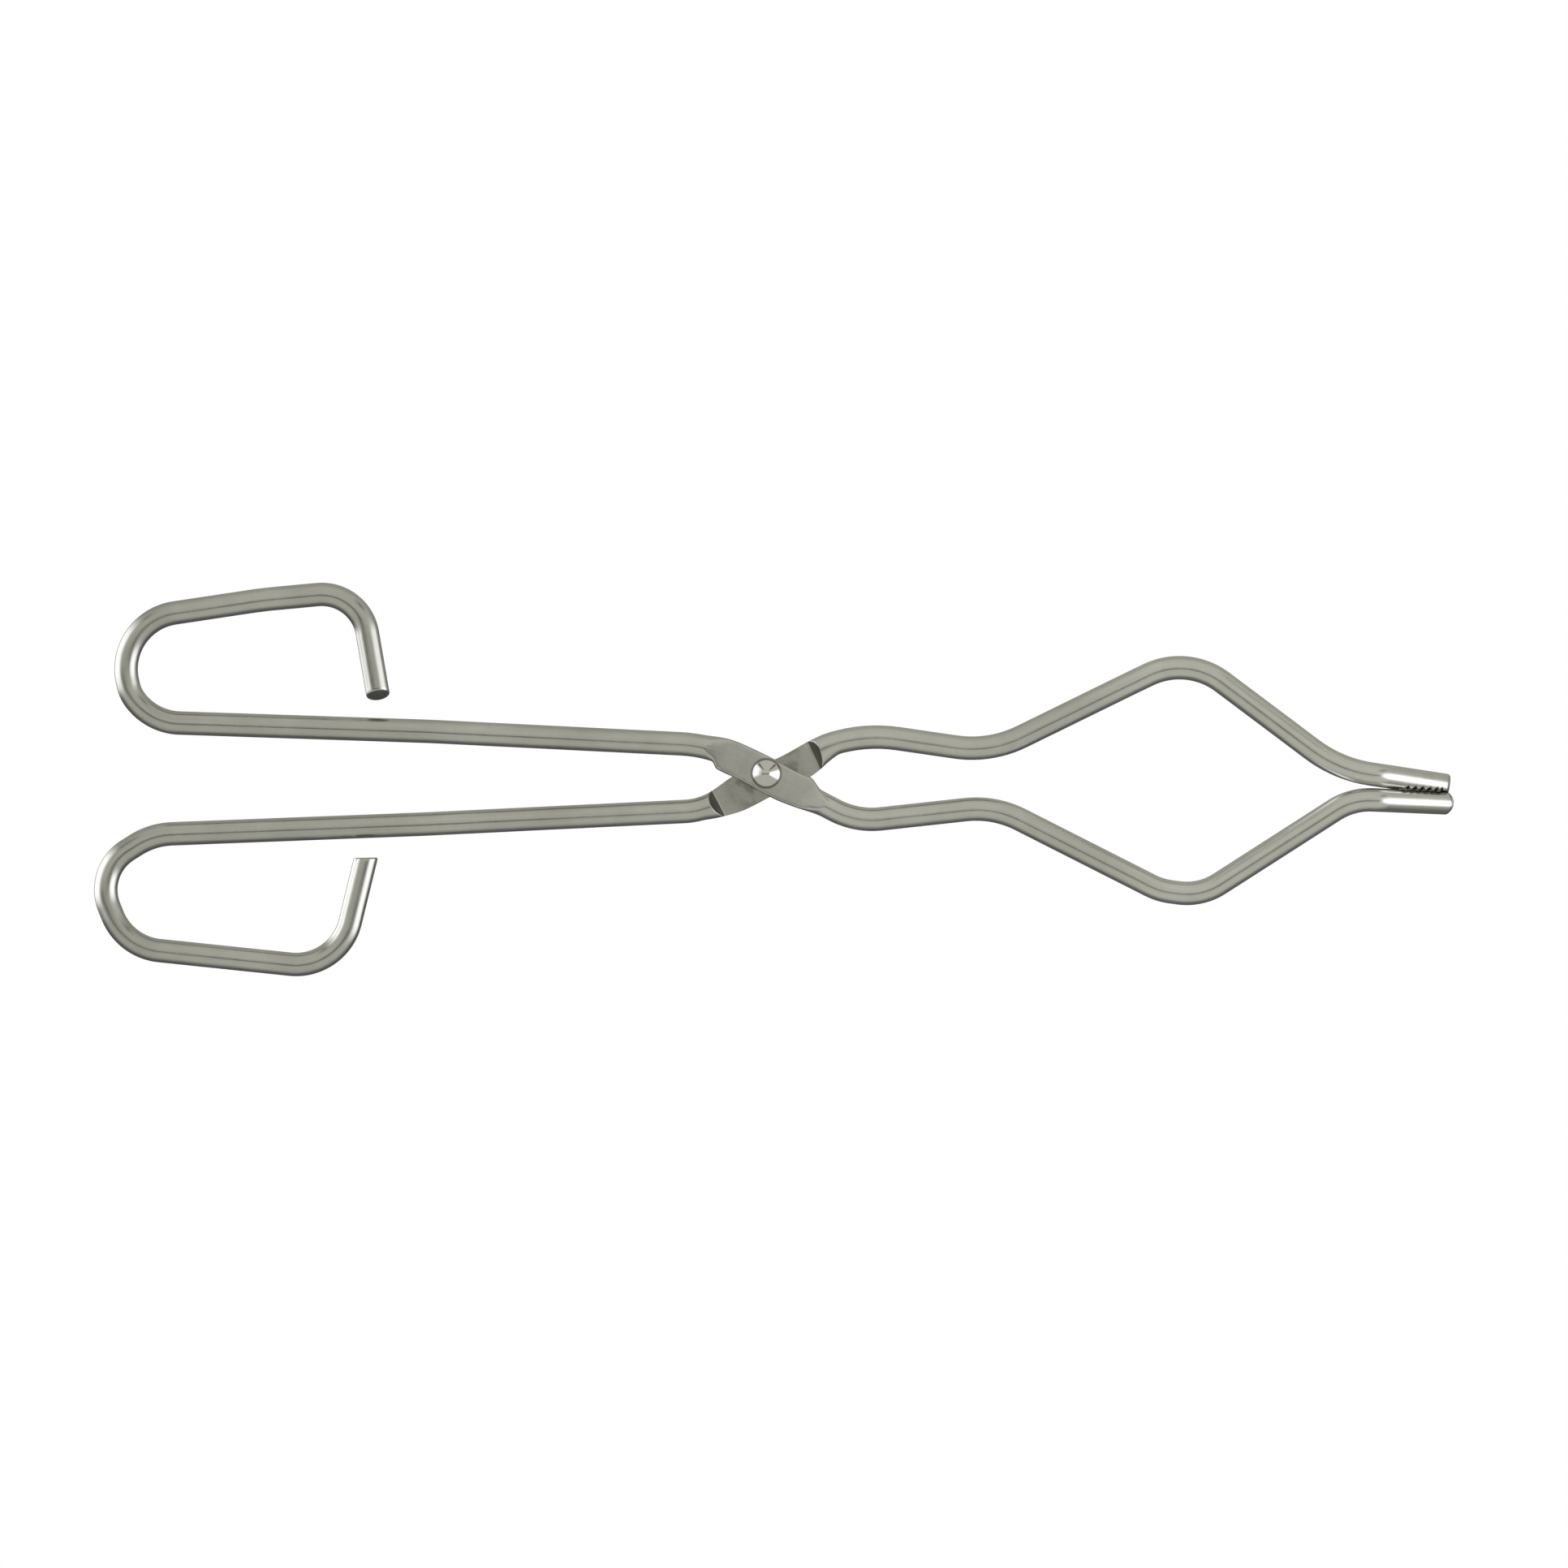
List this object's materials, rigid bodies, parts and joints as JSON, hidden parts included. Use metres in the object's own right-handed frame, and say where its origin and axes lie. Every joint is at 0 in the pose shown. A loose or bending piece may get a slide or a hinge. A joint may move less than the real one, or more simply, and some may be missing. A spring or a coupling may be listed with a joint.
{
  "type": "crucible tongs",
  "caption": "Riveted steel rod tongs with finger loops, a bowed middle that grips a crucible, and down-turned toothed tips for lids.",
  "frame": {"origin": "on the pivot's axis, at the flat end of the rivet's tail", "axes": "+X from the finger loops to the jaws, +Y towards the top arm's finger loop, +Z out of the rivet's domed head; the tips point down, towards -Z"},
  "size_m": [0.301, 0.0867, 0.0201],
  "materials": {
    "satin_steel": "drawn rod, satin, with fine lines along it",
    "polished_steel": "polished rivet head"
  },
  "bodies": {
    "front": {"front_arm": "satin_steel", "pivot_rivet": "polished_steel"},
    "back": {"back_arm": "satin_steel"}
  },
  "joints": [
    {"name": "pivot", "type": "hinge", "parent": "front", "child": "back", "pos_m": [0, 0, 0], "axis": [0, 0, 1], "range_deg": [0, 90]}
  ]
}
